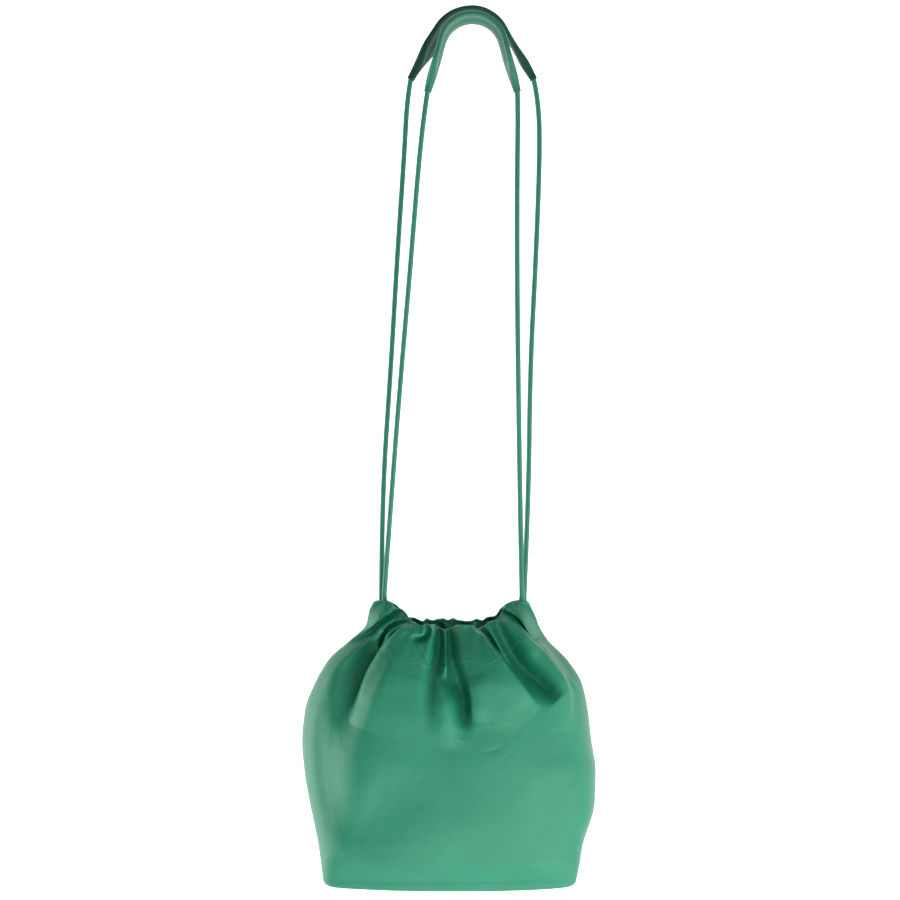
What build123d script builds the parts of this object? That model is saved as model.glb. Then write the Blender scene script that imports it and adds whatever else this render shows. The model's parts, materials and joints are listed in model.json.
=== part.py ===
from build123d import *
from math import cos, radians, sin, tan
import os

# Drawstring bucket bag in soft leather, hanging by the padded middles of its two strap loops.
#
# Frame: the origin is midway between the two straps' pads, at the height of the front pad's
# underside at the top of its arch, where a shoulder or a hook bears. +Z is up, +X is to the right
# as seen from the front, and -Y is the front. Lengths are in millimetres.

# ---- Driving dimensions: cords and straps ---------------------------------------------------
cord_d = 4.6
cord_r = cord_d / 2

pad_w = 28.0  # front to back
pad_t = 6.0  # thickness, outwards from the arch
pad_wall = 1.0
pad_y = 15.5  # how far each pad's middle line is from the middle plane

# Arch of each pad's middle line: height at its top, radius, splay of its legs in degrees, height
# down to which it is flat, and length over which it then narrows to its cord
front_arch = (pad_t / 2, 28.0, 15.0, -36.0, 26.0)
back_arch = (pad_t / 2 + 11.5, 33.0, 30.0, -18.0, 32.0)

# ---- Driving dimensions: bag ----------------------------------------------------------------
bag_x = -19.5  # the bag's middle plane, which hangs a little to one side of the straps' top
front_exits = (-76.9, 43.3)  # where the front strap's cords leave the left and the right ear
back_exits = (-79.5, 45.4)  # where the back strap's cords leave them
exit_y = 2.6  # how far in front of, or behind, the middle plane they leave

ear_top = -504.0  # top of the two gathered ears
hinge_z = ear_top + 5.0  # where the strap cords bend, just clear of the ears
stub_top = hinge_z - 3.7  # upper end of the channel cords, clear of a folded strap
mouth_low = -525.0  # lowest point of the mouth's edge, halfway between the ears
mouth_half = 54.0  # half the width of the dip between the ears
hem_mid = -552.0  # bottom of the drawstring channel at the middle
hem_side = -540.0  # bottom of the drawstring channel at the sides
floor_z = -747.0  # underside of the base

leather = 1.4
fabric = 0.6
gap = 0.2  # between layers that lie on each other

# Outer form of the bag as rounded rectangles: height, width, depth, corner radius
levels = [
    (floor_z, 204, 102, 36),
    (-741, 214, 112, 42),
    (-714, 229, 126, 48),
    (-680, 247, 138, 54),
    (-645, 254, 142, 58),
    (-608, 250, 138, 60),
    (-575, 233, 120, 56),
    (-555, 209, 98, 46),
    (-540, 178, 80, 38),
    (mouth_low, 158, 60, 28),
    (-512, 153, 42, 19),
    (-507, 150, 28, 12),
    (ear_top, 147, 14, 6.2),
]
narrowest = 6.0  # depth under which an inner form has no room and stops

# ---- Layers of the bag's wall, as distances inwards from the outer form ---------------------
tape_in = leather + gap
tape_t = 0.5
lining_in = tape_in + tape_t + gap
pocket_in = lining_in + fabric + gap
binding_in = pocket_in + fabric + gap
facing_in = leather + gap
channel_w = 9.6  # clear width of the drawstring channel
facing_wall = facing_in + channel_w
rim_t = 1.2  # closed top of the channel
foot_t = 3.0  # closed foot of the channel
cord_clear = 0.35

board_t = 2.0
base_top = floor_z + leather
board_top = base_top + gap + board_t
lining_foot = board_top + 2 * gap + fabric

seam_tape_w = 12.0
base_tape_top = base_top + 7.0
pocket_w = 130.0
pocket_top = -598.0
pocket_foot = -700.0
binding_w = 9.0

stitch = 2.8
stitch_pitch = 4.2
stitch_t = 0.45
stitch_h = 0.8
stitch_row_w = 172.0  # width of a row on the channel
stitch_rise = 1.6  # of the channel's stitch line above the channel's foot

reach = 150.0  # past the bag on every side
bag_front = Plane((bag_x, 0, 0), x_dir=(1, 0, 0), z_dir=(0, -1, 0))
seam_plane = Plane((0, 0, 0), x_dir=(1, 0, 0), z_dir=(0, 1, 0))
halves = {"front": Keep.BOTTOM, "back": Keep.TOP}


# ---- Helpers --------------------------------------------------------------------------------
def form(inset):
    """The bag's outer form moved inwards by inset, up to where it gets too narrow."""
    with BuildPart() as block:
        for z, width, depth, corner in levels:
            if depth - 2 * inset > narrowest:
                with BuildSketch(Plane((bag_x, 0, z))):
                    inner_corner = max(corner - inset, 0.3 * (depth / 2 - inset))
                    RectangleRounded(width - 2 * inset, depth - 2 * inset, inner_corner)
        loft()
    return block.part


def shell(outside, inside, zone, keep=Keep.BOTH):
    """What lies between two forms, inside a zone, on one side of the side seams or on both."""
    with BuildPart() as wall:
        add(outside)
        add(inside, mode=Mode.SUBTRACT)
        add(zone, mode=Mode.INTERSECT)
        if keep != Keep.BOTH:
            split(bisect_by=seam_plane, keep=keep)
    return wall.part


def zone(low, high, width=2 * reach, y_from=-reach, y_to=reach):
    """A block about the bag's middle plane."""
    middle = ((y_from + y_to) / 2, (low + high) / 2)
    with BuildPart() as block:
        with Locations((bag_x, *middle)):
            Box(width, y_to - y_from, high - low)
    return block.part


def above_hem(drop):
    """Everything above the channel's foot line, lowered by drop."""
    with BuildPart() as block:
        with BuildSketch(bag_front):
            with BuildLine():
                foot = ThreePointArc(
                    (-reach, hem_side - drop), (0, hem_mid - drop), (reach, hem_side - drop)
                )
                Polyline(foot @ 1, (reach, ear_top + 5), (-reach, ear_top + 5), foot @ 0)
            make_face()
        extrude(amount=reach, both=True)
    return block.part


def mouth_dip(drop):
    """What the dip of the mouth takes away between the ears, lowered by drop."""
    with BuildPart() as block:
        with BuildSketch(bag_front):
            with BuildLine():
                edge = ThreePointArc(
                    (-mouth_half, ear_top - drop),
                    (0, mouth_low - drop),
                    (mouth_half, ear_top - drop),
                )
                Polyline(edge @ 1, (reach, ear_top - drop), (reach, reach), (-reach, reach),
                         (-reach, ear_top - drop), edge @ 0)
            make_face()
        extrude(amount=reach, both=True)
    return block.part


def arc_radii(points):
    """For each inner point of a route, the largest radius that its two runs allow."""
    radii = []
    for before, here, after in zip(points, points[1:], points[2:]):
        run_in = Vector(*here) - Vector(*before)
        run_out = Vector(*after) - Vector(*here)
        turn = radians(run_in.get_angle(run_out))
        radii.append(0.45 * min(run_in.length, run_out.length) / tan(turn / 2))
    return radii


def tube(points, radius):
    """A round tube along straight runs joined by tangent arcs, and its length."""
    with BuildPart() as pipe:
        with BuildLine() as route:
            FilletPolyline(*points, radius=arc_radii(points))
        path = route.wires()[0]
        with BuildSketch(Plane(origin=path @ 0, z_dir=path % 0)):
            Circle(radius)
        sweep(path=path)
    return pipe.part, path.length


def write(part, name):
    """Labels a finished piece and writes it."""
    part.label = name
    export_step(part, f"parts/{name}.step")


def report_tube(name, points, volume, length):
    """Prints what shows that a tube came out whole: its radii, and its volume's share."""
    share = volume / (Circle(cord_r, mode=Mode.PRIVATE).area * length)
    radii = [round(radius) for radius in arc_radii(points)]
    print(name, "length", round(length, 1), "radii", radii, "volume share", round(share, 3))


os.makedirs("parts", exist_ok=True)

# ---- Strap cords ----------------------------------------------------------------------------
# Each hangs taut from the end of its pad to its ear, with the slight bow of leather cord.
strap_routes = {
    "front_cord_left": [
        (-39.0, -15.5, -61.9),
        (-42.4, -15.0, -84),
        (-47.4, -13.7, -132),
        (-54.5, -11.2, -220),
        (-63.2, -8.3, -318),
        (-71.1, -5.3, -420),
        (front_exits[0], -exit_y, hinge_z),
    ],
    "front_cord_right": [
        (39.0, -15.5, -61.9),
        (39.6, -15.0, -84),
        (38.8, -13.7, -132),
        (38.8, -11.2, -220),
        (40.0, -8.3, -318),
        (41.6, -5.3, -420),
        (front_exits[1], -exit_y, hinge_z),
    ],
    "back_cord_left": [
        (-54.1, 15.5, -46.4),
        (-57.4, 15.1, -66),
        (-59.6, 13.9, -110),
        (-65.7, 11.5, -200),
        (-71.4, 8.7, -300),
        (-79.2, 5.3, -415),
        (back_exits[0], exit_y, hinge_z),
    ],
    "back_cord_right": [
        (54.1, 15.5, -46.4),
        (58.4, 15.1, -66),
        (59.6, 13.9, -110),
        (56.2, 11.5, -200),
        (50.8, 8.7, -300),
        (49.4, 5.3, -415),
        (back_exits[1], exit_y, hinge_z),
    ],
}

for name, points in strap_routes.items():
    run, length = tube(points, cord_r)
    report_tube(name, points, run.volume, length)
    with BuildPart() as strap_cord:
        add(run)
        with Locations(points[-1]):
            Sphere(cord_r)
    write(strap_cord.part, name)


# ---- Shoulder pads: a leather sleeve round a soft core, at the top of each strap -------------
def pad_line(arch, y):
    """Middle line of a pad: an arch with straight legs that splay outwards."""
    top, radius, splay, foot, _ = arch
    side = radius * cos(radians(splay))
    shoulder = top - radius + radius * sin(radians(splay))
    foot_x = side + (shoulder - foot) * tan(radians(splay))
    with BuildLine(Plane((0, y, 0), x_dir=(1, 0, 0), z_dir=(0, -1, 0))) as line:
        leg = Line((-foot_x, foot), (-side, shoulder))
        over = ThreePointArc(leg @ 1, (0, top), (side, shoulder))
        Line(over @ 1, (foot_x, foot))
    return line.wires()[0]


def pad_section(inset):
    """Cross-section of a pad, in the sketch that calls it."""
    return RectangleRounded(
        pad_w - 2 * inset, pad_t - 2 * inset, pad_t / 2 - inset - 0.1, mode=Mode.PRIVATE
    )


def pad_solid(path, inset, end_r, taper):
    """A pad's body along its middle line, with ends that narrow to end_r."""
    with BuildPart() as body:
        with BuildSketch(Plane(path @ 0, x_dir=(0, 1, 0), z_dir=path % 0)):
            add(pad_section(inset))
        sweep(path=path)
        for place, outwards in ((0, -1), (1, 1)):
            foot = Plane(path @ place, x_dir=(0, 1, 0), z_dir=(path % place) * outwards)
            with BuildSketch(foot):
                add(pad_section(inset))
            with BuildSketch(foot.offset(taper)):
                Circle(end_r)
            loft()
    return body.part


def pad_stitches(path):
    """Stitches along the underside of a pad, where its sleeve's two edges meet."""
    count = int((path.length - 8) / stitch_pitch)
    with BuildPart() as row:
        for number in range(count + 1):
            share = 0.5 + (number - count / 2) * stitch_pitch / path.length
            inward = Vector(0, 1, 0).cross(path % share)
            under = path @ share + inward * (pad_t / 2 + stitch_t / 2 + 0.05)
            with BuildSketch(Plane(under, x_dir=(0, 1, 0), z_dir=path % share)):
                Rectangle(stitch_h, stitch_t)
            extrude(amount=stitch / 2, both=True)
    return row.part


pads = {"front": (front_arch, -pad_y), "back": (back_arch, pad_y)}
for strap, (arch, y) in pads.items():
    path = pad_line(arch, y)
    with BuildPart() as pad_sleeve:
        add(pad_solid(path, 0, cord_r + 1.3, arch[-1]))
        add(pad_solid(path, pad_wall, cord_r + cord_clear, arch[-1]), mode=Mode.SUBTRACT)
    write(pad_sleeve.part, f"{strap}_pad_sleeve")
    with BuildPart() as pad_core:
        add(pad_solid(path, pad_wall + gap, cord_r - 0.4, arch[-1]))
    write(pad_core.part, f"{strap}_pad_core")
    write(pad_stitches(path), f"{strap}_pad_stitching")


# ---- Drawstring cords in the channel --------------------------------------------------------
def channel_route(side, left, right):
    """Route of a channel cord from ear to ear; side is -1 in the front half, 1 in the back."""
    return [
        (left, side * exit_y, stub_top),
        (left + 0.5, side * (exit_y + 0.4), -509.5),
        (bag_x - 56.0, side * 8.5, -517),
        (bag_x - 51.0, side * 16.5, -521.5),
        (bag_x - 40.0, side * 21.5, -525.5),
        (bag_x - 24.0, side * 24.0, -529.5),
        (bag_x - 8.0, side * 25.0, -531.2),
        (bag_x + 8.0, side * 25.0, -531.2),
        (bag_x + 24.0, side * 24.0, -529.5),
        (bag_x + 40.0, side * 21.5, -525.5),
        (bag_x + 51.0, side * 16.5, -521.5),
        (bag_x + 58.0, side * 8.5, -517),
        (right - 0.5, side * (exit_y + 0.4), -509.5),
        (right, side * exit_y, stub_top),
    ]


channel_routes = {
    "front": channel_route(-1, *front_exits),
    "back": channel_route(1, *back_exits),
}
for half, points in channel_routes.items():
    run, length = tube(points, cord_r)
    report_tube(f"{half}_channel_cord", points, run.volume, length)
    write(run, f"{half}_channel_cord")

# ---- Outer leather --------------------------------------------------------------------------
outer = form(0)
outer_inside = form(leather)
body_height = zone(base_top, ear_top + 5)
dip = mouth_dip(0)
for half, side in halves.items():
    with BuildPart() as panel:
        add(shell(outer, outer_inside, body_height, side))
        add(dip, mode=Mode.SUBTRACT)
    write(panel.part, f"{half}_panel")

with BuildPart() as base_panel:
    add(outer)
    add(zone(floor_z - 1, base_top - 0.05), mode=Mode.INTERSECT)
write(base_panel.part, "base_panel")

# ---- Drawstring channel: a facing folds in at the mouth and is stitched down at its foot -----
facing_outside = form(facing_in)
with BuildPart() as tunnel:
    add(shell(facing_outside, form(facing_wall), above_hem(-foot_t)))
    add(mouth_dip(rim_t), mode=Mode.SUBTRACT)

for half, side in halves.items():
    with BuildPart() as facing:
        add(shell(facing_outside, form(facing_wall + leather), above_hem(0), side))
        add(dip, mode=Mode.SUBTRACT)
        add(tunnel.part, mode=Mode.SUBTRACT)
        for points in channel_routes.values():
            add(tube(points, cord_r + cord_clear)[0], mode=Mode.SUBTRACT)
    write(facing.part, f"{half}_channel_facing")

with BuildPart() as stitch_ring:
    add(shell(form(-0.05 - stitch_t), form(-0.05), above_hem(-stitch_rise)))
    add(above_hem(-stitch_rise - stitch_h), mode=Mode.SUBTRACT)
with BuildPart() as stitch_comb:
    with Locations((bag_x, 0, hem_mid)):
        with GridLocations(stitch_pitch, reach, int(stitch_row_w / stitch_pitch), 1):
            Box(stitch, reach, 40)
for half, side in halves.items():
    with BuildPart() as stitching:
        add(stitch_ring.part)
        add(stitch_comb.part, mode=Mode.INTERSECT)
        split(bisect_by=seam_plane, keep=side)
    write(stitching.part, f"{half}_channel_stitching")

# ---- Seam tapes, inside the leather ----------------------------------------------------------
tape_ring = (form(tape_in), form(tape_in + tape_t))
tape_zone = zone(base_tape_top + gap, -556, y_from=-seam_tape_w / 2, y_to=seam_tape_w / 2)
with BuildPart() as side_tapes:
    add(shell(*tape_ring, tape_zone))
for name, group in (("left", 0), ("right", 1)):
    tape = side_tapes.part.solids().sort_by(Axis.X)[group]
    with BuildPart() as side_tape:
        add(tape)
    write(side_tape.part, f"{name}_side_seam_tape")

with BuildPart() as base_tape:
    add(shell(*tape_ring, zone(base_top + gap, base_tape_top)))
write(base_tape.part, "base_seam_tape")

# ---- Base board and lining --------------------------------------------------------------------
with BuildPart() as base_board:
    with BuildSketch(Plane((bag_x, 0, base_top + gap))):
        RectangleRounded(196, 94, 34)
    extrude(amount=board_t)
write(base_board.part, "base_board")

with BuildPart() as lining_base:
    with BuildSketch(Plane((bag_x, 0, board_top + gap))):
        RectangleRounded(202, 100, 36)
    extrude(amount=fabric)
write(lining_base.part, "lining_base")

lining_outside = form(lining_in)
lining_inside = form(lining_in + fabric)
with BuildPart() as lining_height:
    add(zone(lining_foot, mouth_low))
    add(above_hem(1), mode=Mode.SUBTRACT)
for half, side in halves.items():
    write(shell(lining_outside, lining_inside, lining_height.part, side), f"lining_{half}")

pocket_zone = zone(pocket_foot, pocket_top, pocket_w, y_from=1)
write(shell(form(pocket_in), form(pocket_in + fabric), pocket_zone), "slip_pocket")
binding_zone = zone(pocket_top - binding_w, pocket_top, pocket_w, y_from=1)
write(shell(form(binding_in), form(binding_in + fabric), binding_zone), "pocket_binding")
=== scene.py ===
import json
from math import cos, pi, radians, sin

import bpy
import numpy as np
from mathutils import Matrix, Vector


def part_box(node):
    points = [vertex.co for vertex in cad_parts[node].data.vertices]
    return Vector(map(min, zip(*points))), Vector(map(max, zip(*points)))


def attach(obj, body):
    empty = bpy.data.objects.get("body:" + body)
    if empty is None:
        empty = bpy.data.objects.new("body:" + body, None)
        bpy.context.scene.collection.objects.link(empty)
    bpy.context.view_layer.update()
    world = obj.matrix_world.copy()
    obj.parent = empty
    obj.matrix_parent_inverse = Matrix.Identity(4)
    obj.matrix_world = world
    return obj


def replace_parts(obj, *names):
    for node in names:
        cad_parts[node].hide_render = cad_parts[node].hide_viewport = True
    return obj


# A green leather drawstring bucket bag that hangs by its two padded straps.
# Shapes are worked out in millimetres in the frame's axes and turned into metres at the end.

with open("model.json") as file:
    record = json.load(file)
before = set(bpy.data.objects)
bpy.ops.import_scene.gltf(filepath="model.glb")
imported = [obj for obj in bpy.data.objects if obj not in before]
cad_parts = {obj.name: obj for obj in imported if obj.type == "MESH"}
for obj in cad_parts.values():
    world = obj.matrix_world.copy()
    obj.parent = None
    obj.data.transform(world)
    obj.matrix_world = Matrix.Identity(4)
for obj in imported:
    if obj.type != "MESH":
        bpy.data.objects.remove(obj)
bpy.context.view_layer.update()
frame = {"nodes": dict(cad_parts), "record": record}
MM = 0.001


# ---- Camera and stage -------------------------------------------------------------------------
BAG_X = 1000 * (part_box("front_panel")[0][0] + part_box("front_panel")[1][0]) / 2
VIEW_HEIGHT = -372.8  # the level that the camera looks along
VIEW_WIDTH = 786.6  # what the camera sees across, at the bag's middle plane
CAMERA_AWAY = 2100.0
camera_data = bpy.data.cameras.new("camera")
camera = bpy.data.objects.new("camera", camera_data)
bpy.context.scene.collection.objects.link(camera)
camera.location = (BAG_X * MM, -CAMERA_AWAY * MM, VIEW_HEIGHT * MM)
camera.rotation_euler = (pi / 2, 0, 0)
camera_data.sensor_width = 36.0
camera_data.lens = camera_data.sensor_width * CAMERA_AWAY / VIEW_WIDTH
bpy.context.scene.camera = camera


# ---- Small tools ------------------------------------------------------------------------------
def add_object(name, data, body):
    """Links a new piece, and makes it ride on its body."""
    piece = bpy.data.objects.new(name, data)
    bpy.context.scene.collection.objects.link(piece)
    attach(piece, body)
    return piece


def mesh_from(name, points, faces, material, smooth=True):
    """A mesh in metres from points in millimetres."""
    mesh = bpy.data.meshes.new(name)
    mesh.from_pydata((np.asarray(points, float) * MM).tolist(), [], faces)
    mesh.update()
    mesh.materials.append(material)
    if smooth:
        mesh.polygons.foreach_set("use_smooth", [True] * len(mesh.polygons))
    return mesh


def grid_faces(rows, columns, closed=False, start=0):
    """Quads of a grid of points stored row by row; closed joins the last column to the first."""
    faces = []
    last = columns if closed else columns - 1
    for row in range(rows - 1):
        for column in range(last):
            a = start + row * columns + column
            b = start + row * columns + (column + 1) % columns
            faces.append((a, a + columns, b + columns, b))
    return faces


def curve_through(places, values, at):
    """A smooth line through (place, value) pairs that doesn't overshoot them."""
    places, values = np.asarray(places, float), np.asarray(values, float)
    steps = np.diff(places)
    slopes = np.diff(values) / steps
    inner = np.where(slopes[:-1] * slopes[1:] > 0,
                     2 * slopes[:-1] * slopes[1:] / (slopes[:-1] + slopes[1:] + 1e-12), 0.0)
    tangents = np.concatenate([[slopes[0]], inner, [slopes[-1]]])
    at = np.clip(at, places[0], places[-1])
    span = np.clip(np.searchsorted(places, at, side="right") - 1, 0, len(places) - 2)
    t = (at - places[span]) / steps[span]
    low, high = values[span], values[span + 1]
    m0, m1 = tangents[span] * steps[span], tangents[span + 1] * steps[span]
    return ((2 * t**3 - 3 * t**2 + 1) * low + (t**3 - 2 * t**2 + t) * m0
            + (-2 * t**3 + 3 * t**2) * high + (t**3 - t**2) * m1)


def table(pairs, at):
    """A smooth line through a list of (place, value), with the places in either order."""
    pairs = sorted(pairs)
    return curve_through([p for p, _ in pairs], [v for _, v in pairs], at)


def path_lengths(points):
    """How far along a line of points each point is."""
    return np.concatenate([[0], np.cumsum(np.linalg.norm(np.diff(points, axis=0), axis=1))])


def smooth_step(low, high, value):
    t = np.clip((value - low) / (high - low), 0, 1)
    return t * t * (3 - 2 * t)


def wave(value, seed, pieces=6, lowest=1.0):
    """A sum of sines with fixed, uneven pitches: the same irregular wave on every run."""
    rng = np.random.default_rng(seed)
    total = np.zeros_like(value, dtype=float)
    for number in range(pieces):
        pitch = lowest * (1 + 0.83 * number) * rng.uniform(0.85, 1.15)
        total += np.sin(value * pitch + rng.uniform(0, 2 * pi)) / (1 + 0.45 * number)
    return total / np.sqrt(pieces)


# ---- Materials --------------------------------------------------------------------------------
def node_material(name):
    """A new material with its shader, and a function that adds nodes to it."""
    material = bpy.data.materials.new(name)
    material.use_nodes = True
    tree = material.node_tree
    shader = tree.nodes["Principled BSDF"]

    def add(kind, inputs=None, **settings):
        node = tree.nodes.new(kind)
        for key, value in settings.items():
            setattr(node, key, value)
        for key, value in (inputs or {}).items():
            if isinstance(value, bpy.types.NodeSocket):
                tree.links.new(value, node.inputs[key])
            else:
                node.inputs[key].default_value = value
        return node

    return material, tree, shader, add


FINE_SCALE, CREASE_SCALE, PORE_SCALE = 900.0, 130.0, 1500.0
SPECULAR = 0.36
BACK_SPECULAR = 0.3


def leather(name, dark, light, roughness, grain=1.0, patch=14.0, back_painted_shade=1.0, wear_and_painted_light=0.0):
    """Smooth nappa leather: uneven dye, fine pores, faint creases and a soft gloss."""
    material, tree, shader, add = node_material(name)
    place = add("ShaderNodeTexCoord").outputs["Object"]
    clouds = add("ShaderNodeTexNoise",
                 {"Vector": place, "Scale": patch, "Detail": 4.0, "Roughness": 0.55})
    fine = add("ShaderNodeTexNoise",
               {"Vector": place, "Scale": FINE_SCALE, "Detail": 3.0, "Roughness": 0.6})
    pores = add("ShaderNodeTexVoronoi",
                {"Vector": place, "Scale": PORE_SCALE}, feature="DISTANCE_TO_EDGE")
    pore_depth = add("ShaderNodeMapRange", {"Value": pores.outputs["Distance"], "From Max": 0.18})
    creases = add("ShaderNodeTexNoise",
                  {"Vector": place, "Scale": CREASE_SCALE, "Detail": 5.0, "Roughness": 0.65})
    mix = add("ShaderNodeMath",
              {0: clouds.outputs["Fac"], 1: fine.outputs["Fac"], 2: 0.22}, operation="MULTIPLY_ADD")
    ramp = add("ShaderNodeValToRGB", {"Fac": mix.outputs["Value"]})
    ramp.color_ramp.elements[0].position = 0.28
    ramp.color_ramp.elements[0].color = (*dark, 1)
    ramp.color_ramp.elements[1].position = 0.72
    ramp.color_ramp.elements[1].color = (*light, 1)
    colour = ramp.outputs["Color"]
    if back_painted_shade < 1:
        # the pad that lies behind is painted darker towards the back: painted shade for the shadow the
        # front pad casts on it
        depth = add("ShaderNodeSeparateXYZ", {"Vector": place})
        painted_shade_factor = add("ShaderNodeMapRange",
                     {"Value": depth.outputs["Y"], "From Min": -0.001, "From Max": 0.003,
                      "To Min": 1.0, "To Max": back_painted_shade})
        shaded = add("ShaderNodeVectorMath",
                     {0: colour, 1: painted_shade_factor.outputs["Result"]}, operation="MULTIPLY")
        colour = shaded.outputs["Vector"]
    if wear_and_painted_light > 0:
        # ridges painted paler, partly as rubbed wear and partly as painted highlight; creases painted
        # darker as painted shade
        edges = add("ShaderNodeNewGeometry").outputs["Pointiness"]
        crease_painted_shade = add("ShaderNodeMapRange",
                   {"Value": edges, "From Min": 0.43, "From Max": 0.5,
                    "To Min": 1 - 0.3 * wear_and_painted_light, "To Max": 1.0})
        ridge_wear_and_painted_highlight = add("ShaderNodeMapRange",
                     {"Value": edges, "From Min": 0.515, "From Max": 0.60,
                      "To Min": 1.0, "To Max": 1 + 0.6 * wear_and_painted_light})
        edge_wear_and_light_factor = add("ShaderNodeMath", {0: crease_painted_shade.outputs["Result"], 1: ridge_wear_and_painted_highlight.outputs["Result"]},
                   operation="MULTIPLY")
        edge_wear_and_light_colour = add("ShaderNodeVectorMath",
                          {0: colour, 1: edge_wear_and_light_factor.outputs["Value"]}, operation="MULTIPLY")
        colour = edge_wear_and_light_colour.outputs["Vector"]
    tree.links.new(colour, shader.inputs["Base Color"])
    gloss = add("ShaderNodeMapRange",
                {"Value": creases.outputs["Fac"],
                 "To Min": roughness - 0.07, "To Max": roughness + 0.09})
    tree.links.new(gloss.outputs["Result"], shader.inputs["Roughness"])
    coarse = add("ShaderNodeBump",
                 {"Height": creases.outputs["Fac"], "Strength": 0.26 * grain, "Distance": 0.0012})
    grainy = add("ShaderNodeBump",
                 {"Height": pore_depth.outputs["Result"], "Strength": 0.22 * grain,
                  "Distance": 0.00025, "Normal": coarse.outputs["Normal"]})
    tree.links.new(grainy.outputs["Normal"], shader.inputs["Normal"])
    if back_painted_shade < 1:
        # the back pad's gloss is lowered by the same painted shade
        shine = add("ShaderNodeMath",
                    {0: painted_shade_factor.outputs["Result"], 1: BACK_SPECULAR}, operation="MULTIPLY")
        tree.links.new(shine.outputs["Value"], shader.inputs["Specular IOR Level"])
    else:
        shader.inputs["Specular IOR Level"].default_value = SPECULAR
    return material


def cloth(name, dark, light, pitch):
    """A matt twill: fine diagonal ribs and uneven yarn."""
    material, tree, shader, add = node_material(name)
    place = add("ShaderNodeTexCoord").outputs["Object"]
    ribs = add("ShaderNodeTexWave",
               {"Vector": place, "Scale": pitch, "Distortion": 0.6, "Detail": 1.0},
               bands_direction="DIAGONAL")
    yarn = add("ShaderNodeTexNoise", {"Vector": place, "Scale": 600.0, "Detail": 3.0})
    mix = add("ShaderNodeMath", {0: ribs.outputs["Fac"], 1: yarn.outputs["Fac"]}, operation="MULTIPLY")
    ramp = add("ShaderNodeValToRGB", {"Fac": mix.outputs["Value"]})
    ramp.color_ramp.elements[0].color = (*dark, 1)
    ramp.color_ramp.elements[1].position = 0.6
    ramp.color_ramp.elements[1].color = (*light, 1)
    tree.links.new(ramp.outputs["Color"], shader.inputs["Base Color"])
    bump = add("ShaderNodeBump", {"Height": mix.outputs["Value"], "Strength": 0.4, "Distance": 0.0003})
    tree.links.new(bump.outputs["Normal"], shader.inputs["Normal"])
    shader.inputs["Roughness"].default_value = 0.85
    shader.inputs["Sheen Weight"].default_value = 0.15
    return material


def plain_board(name, dark, light):
    """Matt pressed board with a faint fibre."""
    material, tree, shader, add = node_material(name)
    place = add("ShaderNodeTexCoord").outputs["Object"]
    fibre = add("ShaderNodeTexNoise", {"Vector": place, "Scale": 240.0, "Detail": 6.0, "Roughness": 0.7})
    ramp = add("ShaderNodeValToRGB", {"Fac": fibre.outputs["Fac"]})
    ramp.color_ramp.elements[0].color = (*dark, 1)
    ramp.color_ramp.elements[1].color = (*light, 1)
    tree.links.new(ramp.outputs["Color"], shader.inputs["Base Color"])
    bump = add("ShaderNodeBump", {"Height": fibre.outputs["Fac"], "Strength": 0.3, "Distance": 0.0004})
    tree.links.new(bump.outputs["Normal"], shader.inputs["Normal"])
    shader.inputs["Roughness"].default_value = 0.75
    return material


# the bag's leather has its ridges painted paler (rubbed wear and painted highlight) and its creases painted
# darker (painted shade)
BAG_LEATHER = leather("bag_leather", (0.008, 0.176, 0.096), (0.020, 0.250, 0.142), 0.39,
                      grain=1.5, wear_and_painted_light=1.0)
# the back pad's leather gets painted shade: darker towards the back
PAD_LEATHER = leather("pad_leather", (0.010, 0.125, 0.074), (0.018, 0.175, 0.104), 0.40,
                      back_painted_shade=0.35)
CORD_LEATHER = leather("cord_leather", (0.010, 0.150, 0.088), (0.022, 0.210, 0.125), 0.33, grain=0.8)
LINING = cloth("lining_twill", (0.006, 0.045, 0.028), (0.014, 0.085, 0.055), 420.0)
TAPE = cloth("seam_tape_weave", (0.008, 0.060, 0.040), (0.020, 0.110, 0.075), 700.0)
THREAD = cloth("stitch_thread", (0.030, 0.200, 0.125), (0.090, 0.380, 0.260), 1800.0)
FELT = cloth("pad_felt", (0.50, 0.47, 0.41), (0.72, 0.69, 0.62), 150.0)
BOARD = plain_board("base_board_fibre", (0.03, 0.03, 0.03), (0.07, 0.07, 0.065))


# ---- Cords ------------------------------------------------------------------------------------
CORD_D = 4.6
EXIT_Y = 2.6
HINGE_Z = -499.0
FRONT_EXITS = (-76.9, 43.3)
BACK_EXITS = (-79.5, 45.4)
STRAP_ROUTES = {
    "front_cord_left": [
        (-39.0, -15.5, -61.9), (-42.4, -15.0, -84), (-47.4, -13.7, -132), (-54.5, -11.2, -220),
        (-63.2, -8.3, -318), (-71.1, -5.3, -420), (FRONT_EXITS[0], -EXIT_Y, HINGE_Z),
    ],
    "front_cord_right": [
        (39.0, -15.5, -61.9), (39.6, -15.0, -84), (38.8, -13.7, -132), (38.8, -11.2, -220),
        (40.0, -8.3, -318), (41.6, -5.3, -420), (FRONT_EXITS[1], -EXIT_Y, HINGE_Z),
    ],
    "back_cord_left": [
        (-54.1, 15.5, -46.4), (-57.4, 15.1, -66), (-59.6, 13.9, -110), (-65.7, 11.5, -200),
        (-71.4, 8.7, -300), (-79.2, 5.3, -415), (BACK_EXITS[0], EXIT_Y, HINGE_Z),
    ],
    "back_cord_right": [
        (54.1, 15.5, -46.4), (58.4, 15.1, -66), (59.6, 13.9, -110), (56.2, 11.5, -200),
        (50.8, 8.7, -300), (49.4, 5.3, -415), (BACK_EXITS[1], EXIT_Y, HINGE_Z),
    ],
}


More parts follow.
